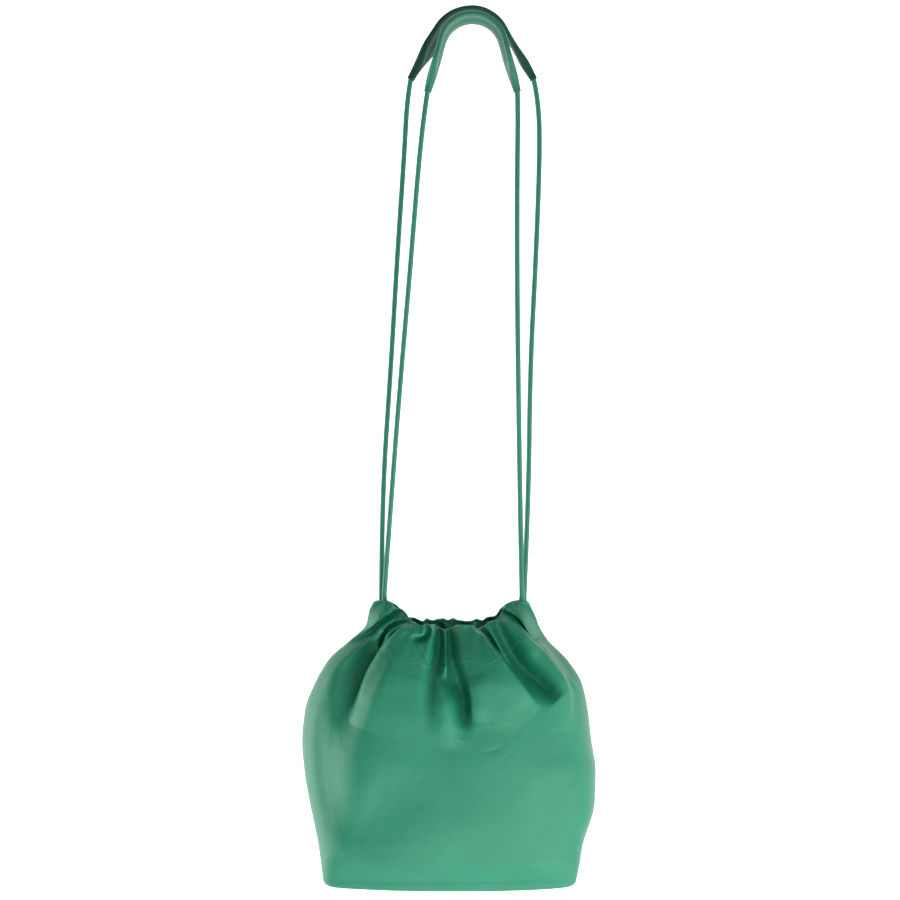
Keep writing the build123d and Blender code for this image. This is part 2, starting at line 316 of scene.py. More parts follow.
def cord_curve(name, points, diameter):
    """A round cord on one smooth line."""
    curve = bpy.data.curves.new(name, "CURVE")
    curve.dimensions = "3D"
    curve.bevel_depth = diameter * MM / 2
    curve.bevel_resolution = 6
    curve.resolution_u = 16
    curve.use_fill_caps = True
    spline = curve.splines.new("NURBS")
    spline.points.add(len(points) - 1)
    for point, place in zip(spline.points, points):
        point.co = (*[value * MM for value in place], 1)
    spline.order_u = 3
    spline.use_endpoint_u = True
    curve.materials.append(CORD_LEATHER)
    return curve


for name, points in STRAP_ROUTES.items():
    body = "front_strap" if name.startswith("front") else "back_strap"
    rolled = f"{name}_rolled"
    strap_cord = add_object(rolled, cord_curve(rolled, points, CORD_D), body)
    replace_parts(strap_cord, name)


def cord_knuckle(name, x, y):
    """The rounded bend of a cord over its ear: a short neck with a domed top."""
    radius, around, rings = CORD_D / 2, 24, 8
    heights = [(-12.0, radius), (-6.0, radius), (0.0, radius)]
    heights += [(radius * sin(angle), radius * cos(angle))
                for angle in (k * pi / 2 / rings for k in range(1, rings))]
    points = [(x + r * cos(a), y + r * sin(a), HINGE_Z + h)
              for h, r in heights for a in np.linspace(0, 2 * pi, around, endpoint=False)]
    points.append((x, y, HINGE_Z + radius))
    faces = grid_faces(len(heights), around, closed=True)
    top = (len(heights) - 1) * around
    faces += [(top + k, len(points) - 1, top + (k + 1) % around) for k in range(around)]
    add_object(name, mesh_from(name, points, faces, CORD_LEATHER), "bag")


# ---- The bag's form ---------------------------------------------------------------------------
EAR_TOP = -502.5
EARS = (-78.2, 44.4)
EAR_HALF, EAR_DEPTH, EAR_DROP = 9.0, 7.4, 16.0
BASE_Z = -747.0
BASE_ROUND = 5.0  # radius at the base's edge
BASE_SAG = 3.0  # how far the base's long edges hang below its ends
STRAIGHT_FOOT = BASE_Z + BASE_ROUND
# How far below the mouth the columns stand evenly, the lip has opened out and the gathers fade
SETTLED_BELOW, LIP_DROP, GATHER_DROP = 95.0, 7.0, 14.0

# Outline seen from the front: (height, left, right)
OUTLINE = [
    (EAR_TOP, -87, 50), (-504, -88, 50.6), (-508, -90.5, 52.3), (-512.6, -92.8, 54.6),
    (-518, -94, 57.2), (-526, -96, 60), (-539, -109.3, 67.8), (-556, -127.6, 84.3),
    (-575, -137.8, 95.8), (-600, -146.2, 101), (-626, -148.6, 104), (-652, -146.4, 107.6),
    (-679, -141.6, 106.6), (-714, -133.7, 95.8), (-735, -130.2, 91.5), (BASE_Z, -128.6, 88.5),
]
# (height, half the depth front to back)
HALF_DEPTH = [
    (EAR_TOP, 9), (-507, 14), (-512, 20), (-525, 30), (-540, 40), (-555, 49), (-575, 60),
    (-608, 68), (-645, 70.5), (-680, 69.5), (-705, 66.5), (-720, 61.5), (-734, 54.5), (BASE_Z, 47.5),
]
# (height, power of the superellipse seen from above): 2 is an ellipse, more is squarer
SQUARENESS = [
    (EAR_TOP, 2.0), (-540, 2.15), (-600, 2.35), (-680, 3.0), (-714, 4.2), (BASE_Z, 9.0),
]

# Top edge of the front half, from the left ear's top to the right ear's top: (x, height, depth)
FRONT_EDGE = [
    (-88.6, -509.5, 1), (-86.8, -506.8, 5), (-83, -505.7, 7.2), (-76, -505.6, 7.8),
    (-72, -506.2, 8), (-69, -508.8, 8.5), (-66, -511.5, 10), (-62.5, -512.0, 12),
    (-57.5, -515.8, 15.5), (-54.5, -520.4, 19), (-49.5, -523.0, 24), (-43, -525.4, 26.5),
    (-38, -524.2, 28), (-32.5, -525.2, 28.5), (-29.5, -528.4, 25), (-23, -529.2, 29),
    (-19, -528.4, 25), (-14.5, -525.4, 28.5), (-7, -524.6, 28.5), (-0.5, -524.8, 27.5),
    (5.5, -528.2, 25.5), (10, -526.6, 24.5), (14.2, -523.0, 21.5), (22, -520.4, 18),
    (25.5, -515.5, 14), (27.0, -509.6, 11), (30.5, -507.0, 9), (36, -505.8, 8),
    (41, -505.6, 7.8), (46.5, -505.7, 7.2), (49.6, -506.8, 5), (51.2, -509.5, 1),
]
# The same for the back half
BACK_EDGE = [
    (-88.6, -509.5, 1), (-86.8, -506.8, 5), (-83, -505.7, 7.2), (-75, -505.8, 7.8), (-69, -508.4, 8.5),
    (-61, -514.5, 12), (-56, -521.1, 17), (-50, -522.1, 21), (-44, -524.1, 22), (-40, -522.1, 25),
    (-35, -524.6, 23), (-31, -523.4, 26.5), (-26, -522.2, 23.5), (-21, -523.6, 27), (-17, -522.0, 24),
    (-12, -524.4, 27), (-6, -525.2, 24), (0, -524.2, 26.5), (4, -522.0, 23), (9, -523.8, 24),
    (13, -521.0, 19.5), (19, -520.0, 17), (25, -512.5, 11.5), (31, -508.0, 9), (36, -506.2, 8),
    (41, -505.6, 7.8), (46.5, -505.7, 7.2), (49.6, -506.8, 5), (51.2, -509.5, 1),
]


def along(edge, share):
    """Points of an edge at shares of its length, on a smooth line through its points."""
    edge = np.asarray(edge, float)
    length = path_lengths(edge)
    at = share * length[-1]
    return [curve_through(length, edge[:, axis], at) for axis in range(3)]


# Folds: points from the top (x, height, how far it stands out), width to its left, width to its
# right, how round its crest or trough is, and how far its crest laps over to the right.
FRONT_FOLDS = [
    # the centre-left panel: its lapping edge and the deep fold behind it
    ([(-50, -523.5, 3), (-58.6, -527.2, 7), (-66, -534.5, 9), (-74.6, -544.7, 11), (-80, -554, 12),
      (-86.3, -564, 11), (-92, -577, 9), (-98, -592, 5), (-103, -607, 0)], 2.6, 24, 1.0, -4.5),
    ([(-74, -533, -6), (-82, -541, -15), (-88, -552, -21), (-95, -565, -21), (-101, -580, -18),
      (-106, -597, -10), (-110, -614, -3), (-113, -628, 0)], 11, 7, 4, 0),
    # the ridge that leads from the ear down to the left, and the crease under the ear
    ([(-80, -529, 3), (-86.3, -532.3, 6), (-94, -537, 7), (-102.5, -543, 6.5), (-113, -551, 5),
      (-125, -562, 3), (-134, -575, 0)], 4, 7, 1.2, 2.0),
    ([(-63.7, -512.6, -7), (-76, -518.8, -9), (-85, -527.5, -11), (-95, -533.5, -11),
      (-103, -537.8, -8), (-113, -545, -5), (-125, -555, -2)], 1.8, 3.4, 0.7, 0),
    ([(-66, -508, 4), (-77, -512, 9), (-87, -519, 10), (-95, -527, 7), (-105, -533.5, 2)],
     3.0, 8, 2.0, 3.0),
    # two narrow strands beside the ear
    ([(-58, -517, 3), (-66, -518.6, 5), (-73, -523, 6.5), (-79, -530, 5), (-82, -540, 2)],
     3.4, 3.0, 1.3, 1.0),
    ([(-58.6, -521.4, -5), (-68.5, -523.4, -8), (-76, -529.6, -10), (-79, -538, -10),
      (-79, -545, -8)], 1.6, 1.7, 0.6, 0),
    ([(-56, -522.5, 2), (-67, -527.2, 3.5), (-73.5, -535, 3.5), (-76.5, -543.2, 1)], 2.0, 2.0, 1.0, 0),
    ([(-55, -524.0, -4), (-65, -530.0, -7), (-71.5, -538, -7), (-76, -546, -4)], 1.5, 1.3, 0.6, 0),
    # the puffy lump and the hooked fold at the mouth
    ([(-55, -526.5, 2), (-48, -529, 4.5), (-42.5, -528.6, 3.5)], 4.5, 4.5, 2, 0),
    ([(-53, -534.6, -1), (-47, -535.6, -6), (-42, -534.4, -9), (-39.2, -531, -10), (-38.4, -527, -9),
      (-40, -523.5, -7)], 1.6, 1.5, 0.7, 0),
    ([(-35.4, -524, 5), (-35.4, -533, 6), (-36, -543, 4), (-38, -556, 1)], 3.6, 2.6, 1.2, 1.0),
    # the narrow pleat at the middle between two troughs
    ([(-29.6, -524, -13), (-29.4, -541, -17), (-30.6, -553, -14), (-33.5, -563, -9), (-36, -573, -6),
      (-37, -590, -3), (-36, -612, 0)], 5, 3.6, 2.2, 0),
    ([(-24.0, -526, 7), (-24.2, -543, 9), (-24.0, -556, 7.5), (-23.6, -568, 1)], 2.8, 1.3, 0.6, 1.0),
    ([(-19.4, -524, -13), (-19.2, -543, -17), (-17.0, -555, -15), (-12.6, -567, -15.5),
      (-9.0, -578, -17), (-7.6, -590, -16), (-7.9, -601, -9), (-9.5, -610, -2),
      (-11, -618, 0)], 6.5, 4.6, 2.0, 0),
    ([(-29, -560, -4), (-24, -569, -8), (-18, -574, -7), (-13, -578, -3)], 4.5, 5, 3, 0),
    ([(-3.0, -566, 0), (0.5, -576, 3.5), (2.0, -590, 3.5), (1.0, -603, 0)], 3.5, 12, 1.6, -2.5),
    # the centre-right panel: its lapping edge and the creases behind it
    ([(-1.8, -525, 5), (5.5, -532.0, 8), (12.8, -543.0, 10), (20.4, -553.4, 11), (28.8, -562.5, 10),
      (36.4, -571.0, 8), (44, -579.8, 5.5), (50, -586, 2.5), (57, -594, 0)], 26, 2.2, 0.9, 4.0),
    ([(8.5, -528, -6), (15.5, -539, -11), (22.5, -549.5, -12), (29.5, -558.5, -9), (35, -565, -5)],
     1.8, 1.8, 0.7, 0),
    ([(12.4, -525, 3), (18.4, -537.4, 4.5), (22.2, -547.6, 4.5), (28.5, -558.5, 1)], 2.2, 2.4, 1.0, 1.5),
    # the dark pocket
    ([(20.5, -524, -7), (25.0, -533, -12), (31, -545, -17), (38.5, -557, -20), (47.5, -566, -20),
      (56, -572.5, -18), (63, -578, -13), (68, -582.5, -6), (72, -587, 0)], 5.0, 6.5, 2.6, 0),
    # the ridge over the pocket, with its lapping lower edge
    ([(24, -519.5, 3), (33, -523.5, 7), (43.4, -531.5, 10), (52, -540.5, 11), (61, -546.5, 11),
      (69.6, -557.8, 10), (78, -571, 9), (82.3, -586, 6), (83, -598, 3), (83, -614, 0)], 10, 2.8, 1.2, 2.5),
    # creases under the right ear
    ([(27.5, -512.6, -5), (36.1, -516.6, -6), (43.0, -524.4, -7), (48.2, -532.5, -8),
      (54.5, -540, -8), (63, -548, -6.5), (73, -561, -4.5), (84.5, -574.5, -3.5),
      (96, -588, -1)], 1.3, 1.4, 0.5, 0),
    ([(40, -510, 2), (48, -518, 5), (54, -530, 5.5), (63, -540, 5), (73, -552, 4), (84, -566, 3.5),
      (95, -582, 2), (101, -598, 0)], 4.5, 2.4, 1.2, -1.5),
    ([(57, -527, -2), (66.5, -539, -5), (76.5, -553.4, -6), (87, -568, -5), (98, -586, -2)],
     1.6, 2.0, 0.7, 0),
    ([(29, -508.5, 5), (36.5, -511, 9), (44.5, -517, 10), (50.5, -527, 8), (57, -537, 3)],
     8, 3.0, 1.8, -2.5),
    # slack at the left
    ([(-117, -585, 0), (-122, -608, -4), (-125, -634, -6), (-124, -662, -5.5), (-120, -690, -3),
      (-116, -715, 0)], 16, 14, 8, 0),
    ([(-108, -590, 0), (-108, -620, 3), (-104, -652, 3.5), (-98, -690, 0)], 12, 20, 8, 0),
    # soft slack below the panels
    ([(-25, -580, 2), (-23.5, -592, 4), (-22.5, -608, 3), (-22, -626, 0)], 7, 7, 4, 0),
    ([(-42, -600, 0), (-44, -630, -2.0), (-40, -665, -1.5), (-30, -700, 0)], 22, 22, 14, 0),
    ([(20, -610, 0), (24, -640, 2.0), (22, -670, 1.5), (10, -705, 0)], 24, 24, 14, 0),
    # broad dents towards the bottom corners, and the belly over the base
    ([(-62, -640, 0), (-72, -670, -3), (-88, -700, -4.5), (-102, -724, -2)], 14, 18, 8, 0),
    ([(58, -650, 0), (70, -682, -2.5), (80, -712, -3)], 14, 12, 8, 0),
    ([(-104, -716, 1.5), (-70, -729, 3), (-20, -734, 3.5), (40, -731, 3), (76, -718, 1.5)], 8, 10, 5, 0),
    # a faint crease in the skin
    ([(8, -628.5, 0), (16, -627.5, -0.5), (26, -624.5, 0)], 1.6, 1.6, 0.8, 0),
]
BACK_FOLDS = [
    ([(-56, -520, 3), (-66, -533, 8), (-80, -553, 11), (-94, -578, 9), (-104, -606, 0)],
     2.8, 22, 1.0, -4.0),
    ([(-68, -526, -7), (-82, -545, -17), (-94, -566, -18), (-105, -592, -11), (-111, -618, 0)],
     9, 6, 3.5, 0),
    ([(-64, -513, -6), (-80, -523, -8), (-98, -536, -6), (-120, -552, -2)], 1.8, 4.0, 0.7, 0),
    ([(-70, -508, 2), (-84, -520, 5.5), (-100, -533, 3), (-116, -546, 0)], 4, 6, 2, 0),
    ([(-42, -521, -12), (-45, -542, -14), (-50, -562, -12), (-58, -588, -6), (-63, -608, 0)],
     5, 4, 2.2, 0),
    ([(-35, -521, 5), (-36, -544, 8), (-38, -566, 6), (-42, -592, 0)], 3, 11, 1.0, -2.0),
    ([(-22, -521, -12), (-22, -546, -16), (-19, -568, -15), (-14, -592, -9), (-12, -614, 0)],
     5.5, 5, 2.5, 0),
    ([(-9, -521, 4), (-7, -544, 8), (-1, -570, 6), (8, -600, 0)], 14, 3, 1.0, 2.5),
    ([(4, -521, -10), (9, -544, -15), (20, -568, -15), (34, -594, -8), (42, -614, 0)], 4, 8, 3, 0),
    ([(15, -519, 4), (25, -540, 8), (42, -562, 9), (60, -592, 0)], 3.2, 13, 1.0, -2.5),
    ([(23, -515, -6), (36, -535, -12), (56, -556, -13), (73, -582, -8), (82, -606, 0)], 5, 6, 2.6, 0),
    ([(30, -509, -5), (46, -527, -9), (62, -545, -6), (84, -568, 0)], 2, 3, 0.8, 0),
    ([(40, -508, 2), (54, -524, 5), (72, -548, 4), (90, -574, 0)], 4, 3, 1.2, 0),
    ([(-124, -585, 0), (-127, -620, -5), (-124, -670, -5), (-118, -710, 0)], 10, 11, 6, 0),
    ([(88, -595, 0), (90, -630, -4.5), (88, -680, -4), (82, -712, 0)], 11, 11, 6, 0),
    ([(-10, -620, 0), (-14, -650, 3), (-20, -690, 0)], 24, 24, 12, 0),
]


def fold_field(folds, x, z):
    """How far the folds raise or sink the leather at each place, and lap it sideways and down."""
    total, lap_x, lap_z = np.zeros_like(x), np.zeros_like(x), np.zeros_like(x)
    for points, left, right, round_by, lap in folds:
        points = np.asarray(points, float)
        walk = np.linspace(0, len(points) - 1, 5 * (len(points) - 1) + 1)
        line = np.stack([curve_through(np.arange(len(points)), points[:, k], walk) for k in range(3)], 1)
        reach = 3.2 * max(left, right) + 6
        near = ((x > line[:, 0].min() - reach) & (x < line[:, 0].max() + reach)
                & (z > line[:, 1].min() - reach) & (z < line[:, 1].max() + reach))
        px, pz = x[near], z[near]
        nearest = np.full(px.shape, 1e9)
        side, height = np.ones_like(px), np.zeros_like(px)
        normal_x, normal_z = np.zeros_like(px), np.zeros_like(px)
        for start, end in zip(line, line[1:]):
            run = end[:2] - start[:2]
            size = np.hypot(*run)
            share = np.clip(((px - start[0]) * run[0] + (pz - start[1]) * run[1]) / size**2, 0, 1)
            away_x, away_z = px - start[0] - share * run[0], pz - start[1] - share * run[1]
            away = np.hypot(away_x, away_z)
            closer = away < nearest
            nearest = np.where(closer, away, nearest)
            side = np.where(closer, np.sign(-away_x * run[1] + away_z * run[0]), side)
            height = np.where(closer, start[2] + share * (end[2] - start[2]), height)
            normal_x = np.where(closer, -run[1] / size, normal_x)
            normal_z = np.where(closer, run[0] / size, normal_z)
        width = np.where(side > 0, right, left)
        away = np.sqrt(nearest**2 + round_by**2) - round_by
        total[near] += height * np.exp(-((away / width) ** 1.5))
        if lap:
            moved = lap * np.exp(-((nearest / 3.4) ** 2)) * np.clip(height / points[:, 2].max(), 0, 1)
            lap_x[near] += moved * normal_x
            lap_z[near] += moved * normal_z
    return total, lap_x, lap_z


def left_side(z):
    return table([(height, left) for height, left, _ in OUTLINE], z)


def right_side(z):
    return table([(height, right) for height, _, right in OUTLINE], z)


def body_half(front, columns, heights_share, plain=False):
    """Rows of points of the leather's outside on one half; plain leaves out all that stands out."""
    share = (1 - np.cos(pi * np.linspace(0, 1, columns))) / 2
    edge_x, edge_z, edge_d = along(FRONT_EDGE if front else BACK_EDGE, share)
    edge_left, edge_right = left_side(edge_z), right_side(edge_z)
    edge_share = np.clip((edge_x - edge_left) / (edge_right - edge_left), 0, 1)
    z = edge_z + (STRAIGHT_FOOT - edge_z) * heights_share[:, None]
    dropped = edge_z - z
    settled = smooth_step(0, SETTLED_BELOW, dropped)
    across = edge_share * (1 - settled) + share * settled
    left, right = left_side(z), right_side(z)
    x = left + (right - left) * across
    middle, half = (left + right) / 2, (right - left) / 2
    beside = np.clip(np.abs((x - middle) / half), 0, 1)
    power = table(SQUARENESS, z)
    depth = table(HALF_DEPTH, z) * (1 - beside**power) ** (1 / power)
    lip = 1 - np.exp(-dropped / LIP_DROP)
    depth = edge_d[None, :] + (depth - edge_d[None, :]) * lip
    fade = smooth_step(0, 0.16, 1 - beside)
    near_base = smooth_step(0, 60, z - STRAIGHT_FOOT)
    folds, lap_x, lap_z = fold_field(FRONT_FOLDS if front else BACK_FOLDS, x, z)
    gathers = wave(share * 60, 3 if front else 8, 5, 1.0)[None, :] * np.exp(-dropped / GATHER_DROP)
    gathers *= 0.7 if front else 1.6
    slack = 0.8 * wave(x / 17 + z / 60, 11 if front else 12, 4, 0.5) * smooth_step(0, 60, dropped)
    if plain:
        folds, gathers, lap_x, lap_z = np.minimum(folds, 0) * 1.05, -np.abs(gathers), 0 * x, 0 * x
    depth = depth + (folds + gathers + slack * near_base) * fade
    depth = np.maximum(depth, 0.4 * fade)
    ear = np.maximum(*(np.exp(-(((x - place) / EAR_HALF) ** 2)) for place in EARS))
    depth = np.maximum(depth, EAR_DEPTH * ear * fade * (dropped < EAR_DROP))
    y = -depth if front else depth
    lapping = fade * smooth_step(0, 6, dropped)
    return np.stack([x + lap_x * lapping, y, z + lap_z * lapping], axis=2)


COLUMNS, ROWS = 400, 230  # of one half
fall = np.linspace(0, 1, ROWS) ** 1.3
front_sheet = body_half(True, COLUMNS, fall)
back_sheet = body_half(False, COLUMNS, fall)
# one ring of columns: across the front to the right, then across the back to the left
sheet_rows = np.concatenate([front_sheet, back_sheet[:, ::-1][:, 1:-1]], axis=1)
AROUND = sheet_rows.shape[1]
plain_rows = np.concatenate([body_half(True, COLUMNS, fall, plain=True),
                             body_half(False, COLUMNS, fall, plain=True)[:, ::-1][:, 1:-1]], axis=1)


def outward(rows):
    """Unit normals of a closed ring of rows, pointing out of the bag."""
    round_way = np.roll(rows, -1, axis=1) - np.roll(rows, 1, axis=1)
    down_way = np.gradient(rows, axis=0)
    normal = np.cross(down_way, round_way)
    return normal / (np.linalg.norm(normal, axis=2, keepdims=True) + 1e-9)


def base_rows(last_row):
    """Rows that turn the wall under into the base's edge."""
    centre = last_row.mean(axis=0)
    turned = []
    for angle in np.linspace(0, pi / 2, 9)[1:]:
        inset = BASE_ROUND * (1 - cos(angle))
        away = last_row - centre
        size = np.linalg.norm(away[:, :2], axis=1, keepdims=True)
        row = last_row.copy()
        row[:, :2] -= away[:, :2] / size * inset
        middle_share = 1 - np.clip(np.abs(away[:, 0]) / np.abs(away[:, 0]).max(), 0, 1) ** 2.2
        row[:, 2] = last_row[:, 2] - BASE_ROUND * sin(angle) - BASE_SAG * middle_share * sin(angle)
        turned.append(row)
    return np.array(turned)


def blurred(rows, across, down):
    """The ring of rows with its folds smoothed away."""
    steps = range(-across, across + 1, 2)
    total = np.zeros_like(rows)
    for step in steps:
        total += np.roll(rows, step, axis=1)
    total /= len(steps)
    padded = np.concatenate([total[:1]] * down + [total] + [total[-1:]] * down)
    sums = np.concatenate([np.zeros_like(padded[:1]), np.cumsum(padded, axis=0)])
    return (sums[2 * down + 1:] - sums[:-2 * down - 1]) / (2 * down + 1)


def level_units(vectors):
    """Vectors laid level and made one long."""
    level = vectors * np.array([1, 1, 0])
    return level / (np.linalg.norm(level, axis=-1, keepdims=True) + 1e-9)


wall = np.concatenate([sheet_rows, base_rows(sheet_rows[-1])])
plain_wall = np.concatenate([plain_rows, base_rows(plain_rows[-1])])
normals = outward(blurred(plain_wall, 24, 6))
drop = fall[:, None] * (sheet_rows[0][None, :, 2] - STRAIGHT_FOOT)


# ---- Hem and facing ---------------------------------------------------------------------------
HEM_T = 2.6  # the folded hem's thickness at the mouth
FACING_ROWS = 52
CHANNEL_ROOM = 5.5  # how far the drawstring holds the facing off the outside
CHANNEL_FOOT = 29.0  # where the facing is stitched down, below the mouth's edge


def lip_rows():
    """Rows that turn the leather over at the mouth's edge, from the inside to the outside."""
    out, up = level_units(normals[0]), np.array([0, 0, 1])
    middle = sheet_rows[0] - out * HEM_T / 2
    return np.array([middle + out * HEM_T / 2 * cos(angle) + up * HEM_T / 2 * sin(angle)
                     for angle in np.linspace(0, pi, 7)[-2:0:-1]])


def facing_rows():
    """Rows of the leather folded in behind the mouth, with room in it for the drawstring."""
    rim_drop = drop[:FACING_ROWS]
    room = CHANNEL_ROOM * np.sin(pi * np.clip((rim_drop - 2) / (CHANNEL_FOOT - 4), 0, 1)) ** 0.8
    from_rim = smooth_step(1, 9, rim_drop)[:, :, None]
    outside = sheet_rows[:FACING_ROWS]
    rows = outside * (1 - from_rim) + plain_rows[:FACING_ROWS] * from_rim
    rows = rows - level_units(normals[:FACING_ROWS]) * (HEM_T + room)[:, :, None]
    # each half stays on its own side of the middle
    beyond = rows[:, :, 1] * outside[:, :, 1] < 0
    rows[:, :, 1] = np.where(beyond, np.sign(outside[:, :, 1]) * 0.2, rows[:, :, 1])
    return rows


outer_rows = np.concatenate([facing_rows()[::-1], lip_rows(), wall])
body_mesh = mesh_from("bag_body_leather", outer_rows.reshape(-1, 3),
                      grid_faces(len(outer_rows), AROUND, closed=True), BAG_LEATHER)
bag_body = add_object("bag_body_leather", body_mesh, "bag")
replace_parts(bag_body, "front_panel", "back_panel", "front_channel_facing", "back_channel_facing")


# ---- Base ------------------------------------------------------------------------------------
BASE_DISH = 0.25  # how far the middle of the base stands above its edge
rim = wall[-1]
centre = rim.mean(axis=0)
rings = [rim + (centre - rim) * share + np.array([0, 0, BASE_DISH * (1 - (1 - share) ** 2)])
         for share in np.linspace(0, 0.999, 24)]
base_mesh = mesh_from("base_leather", np.concatenate(rings),
                      grid_faces(len(rings), AROUND, closed=True), BAG_LEATHER)
base = add_object("base_leather", base_mesh, "bag")
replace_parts(base, "base_panel")


# ---- Drawstring cords in the channel ------------------------------------------------------------
CORD_DROP = 9.0  # below the mouth's edge
CORD_IN = 5.0  # behind the outside of the leather


def inside_point(column, below, inwards):
    """A point behind the leather, below the mouth's edge in that column."""
    row = int(np.argmin(np.abs(drop[:, column] - below)))
    return tuple(plain_rows[row, column] - normals[row, column] * inwards)


for half, side, exits in (("front", -1, FRONT_EXITS), ("back", 1, BACK_EXITS)):
    hem_columns = np.linspace(0.27, 0.73, 13) * (COLUMNS - 1)
    columns = hem_columns if half == "front" else AROUND - hem_columns
    left, right = exits
    neck_y, neck_z = side * (EXIT_Y + 0.5), HINGE_Z - 11
    route = [(left, side * EXIT_Y, HINGE_Z), (left + 0.5, neck_y, neck_z)]
    route += [inside_point(int(column), CORD_DROP, CORD_IN) for column in columns]
    route += [(right - 0.5, neck_y, neck_z), (right, side * EXIT_Y, HINGE_Z)]
    rolled = f"{half}_channel_cord_rolled"
    channel_cord = add_object(rolled, cord_curve(rolled, route, CORD_D), "bag")
    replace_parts(channel_cord, f"{half}_channel_cord")
    for end, x in zip(("left", "right"), exits):
        cord_knuckle(f"{half}_cord_knuckle_{end}", x, side * EXIT_Y)


# ---- Layers inside the leather --------------------------------------------------------------------
def grid_rim(high, wide):
    """The numbers of a grid's outermost points, in order round it."""
    top = list(range(wide))
    right = [row * wide + wide - 1 for row in range(1, high)]
    foot = [(high - 1) * wide + column for column in range(wide - 2, -1, -1)]
    left = [row * wide for row in range(high - 2, 0, -1)]
    return top + right + foot + left


def layer(name, rows, columns, inwards, thickness, material, stands_for):
    """A thin closed skin behind the leather: rows and columns of the wall, moved inwards."""
    outside, out = plain_wall[rows][:, columns], normals[rows][:, columns]
    near, far = outside - out * inwards, outside - out * (inwards + thickness)
    high, wide = near.shape[:2]
    points = np.concatenate([near.reshape(-1, 3), far.reshape(-1, 3)])
    faces = grid_faces(high, wide)
    faces += [face[::-1] for face in grid_faces(high, wide, start=high * wide)]
    edge = grid_rim(high, wide)
    for a, b in zip(edge, edge[1:] + edge[:1]):
        faces.append((a, b, b + high * wide, a + high * wide))
    piece = add_object(name, mesh_from(name, points, faces, material), "bag")
    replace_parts(piece, stands_for)


LINING_IN, POCKET_IN, BINDING_IN, TAPE_IN = 3.2, 5.0, 5.8, 1.6  # how far inside the leather
CLOTH_T, BINDING_T, TAPE_T = 0.6, 0.9, 0.5
TAPE_HALF = 30  # columns of a seam tape to each side of its seam

lining_rows = np.arange(FACING_ROWS - 6, ROWS - 1, 2)
lining_columns = {
    "front": np.arange(0, COLUMNS, 2),
    "back": np.arange(COLUMNS - 1, AROUND + 1, 2) % AROUND,
}
for half, columns in lining_columns.items():
    layer(f"lining_{half}_twill", lining_rows, columns, LINING_IN, CLOTH_T, LINING,
          f"lining_{half}")

pocket_columns = np.arange(COLUMNS + 128, AROUND - 128, 2)
layer("slip_pocket_twill", np.arange(105, 188, 2), pocket_columns, POCKET_IN, CLOTH_T, LINING,
      "slip_pocket")
layer("pocket_binding_leather", np.arange(104, 114), pocket_columns, BINDING_IN, BINDING_T,
      BAG_LEATHER, "pocket_binding")

tape_columns = {
    "left": np.arange(-TAPE_HALF, TAPE_HALF + 1) % AROUND,
    "right": np.arange(COLUMNS - 1 - TAPE_HALF, COLUMNS + TAPE_HALF),
}
for side, columns in tape_columns.items():
    layer(f"{side}_seam_tape", np.arange(70, ROWS - 8, 2), columns, TAPE_IN, TAPE_T, TAPE,
          f"{side}_side_seam_tape")
layer("base_edge_tape", np.arange(ROWS - 6, len(wall) - 2), np.arange(0, AROUND + 1, 2) % AROUND,
      TAPE_IN, TAPE_T, TAPE, "base_seam_tape")


def base_layer(name, share, low, thickness, material, stands_for):
    """A flat piece lying on the base: the base's outline drawn in, with a low and a high face."""
    outline = centre + (rim - centre) * share
    outline[:, 2] = centre[2]
    low_face = [(0.01, low), (0.5, low), (1.0, low)]
    high_face = [(inner, low + thickness) for inner in (1.0, 0.5, 0.01)]
    rings = [centre + (outline - centre) * inner + np.array([0, 0, height])
             for inner, height in low_face + high_face]
    faces = [face[::-1] for face in grid_faces(len(rings), AROUND, closed=True)]
    mesh = mesh_from(name, np.concatenate(rings), faces, material, smooth=False)
    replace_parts(add_object(name, mesh, "bag"), stands_for)


base_layer("base_board_panel", 0.93, 2.4, 1.6, BOARD, "base_board")
base_layer("lining_base_twill", 0.95, 4.3, 0.6, LINING, "lining_base")


# ---- Stitches -----------------------------------------------------------------------------------
STITCH_PITCH, STITCH_LONG = 3.1, 2.3
HEM_THREAD, PAD_THREAD = 0.75, 0.6
STITCH_DIP = 1.5  # how far the hem's row of stitches wanders up and down


def spaced(line, outs, margin):
    """Places a stitch apart along a line, short of its ends, and the way out at each."""
    lengths = path_lengths(line)
    at = np.arange(margin, lengths[-1] - margin, STITCH_PITCH)
    places = np.stack([np.interp(at, lengths, line[:, k]) for k in range(3)], 1)
    ways = np.stack([np.interp(at, lengths, outs[:, k]) for k in range(3)], 1)
    return places, ways


def stitches(name, places, runs, outs, thick, body, replaced):
    """A row of thread stitches: little rounded bars at places, along runs, lying against outs."""
    points, faces = [], []
    around, along_stations = 8, 5
    for place, run, out in zip(places, runs, outs):
        run = run / np.linalg.norm(run)
        side = np.cross(run, out)
        side /= np.linalg.norm(side) + 1e-9
        up = np.cross(side, run)
        start = len(points)
        for station in range(along_stations):
            share = station / (along_stations - 1)
            radius = thick / 2 * (0.35 + 0.65 * sin(pi * share) ** 0.5)
            lift = thick * 0.28 * sin(pi * share)
            middle = place + run * STITCH_LONG * (share - 0.5) + up * lift
            for k in range(around):
                angle = 2 * pi * k / around
                points.append(middle + side * radius * cos(angle) + up * radius * 0.8 * sin(angle))
        faces += grid_faces(along_stations, around, closed=True, start=start)
        faces.append(tuple(start + k for k in range(around))[::-1])
        last = start + (along_stations - 1) * around
        faces.append(tuple(last + k for k in range(around)))
    piece = add_object(name, mesh_from(name, points, faces, THREAD), body)
    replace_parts(piece, replaced)


